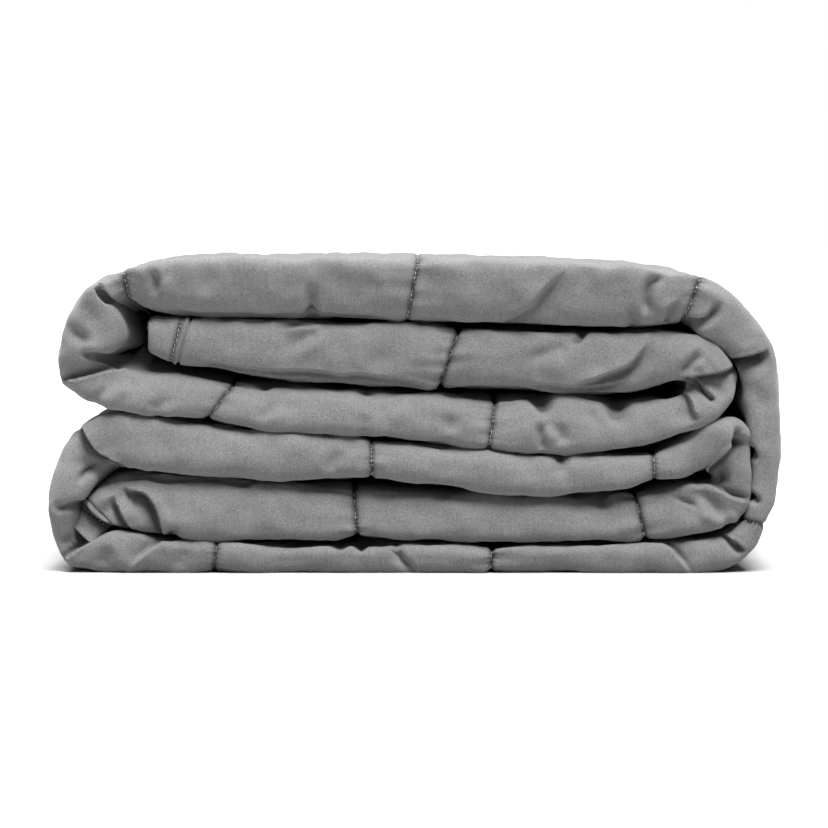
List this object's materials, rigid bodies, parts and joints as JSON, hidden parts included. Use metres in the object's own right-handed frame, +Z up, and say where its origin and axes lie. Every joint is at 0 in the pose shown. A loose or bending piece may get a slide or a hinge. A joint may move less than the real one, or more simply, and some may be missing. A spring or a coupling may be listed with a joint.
{
  "type": "folded weighted blanket",
  "caption": "Thick quilted blanket folded lengthwise and then back and forth into a neat layered pile, resting flat.",
  "frame": {"origin": "centre of the pile's footprint, on the surface it lies on", "axes": "+X to the right along the layers as seen from the long folds, +Y from the long folds to the back edges, +Z up"},
  "size_m": [0.3283, 0.3751, 0.1435],
  "materials": {
    "grey_cotton": "matt plain-woven cotton"
  },
  "bodies": {
    "root": {"blanket": "grey_cotton"}
  },
  "joints": []
}
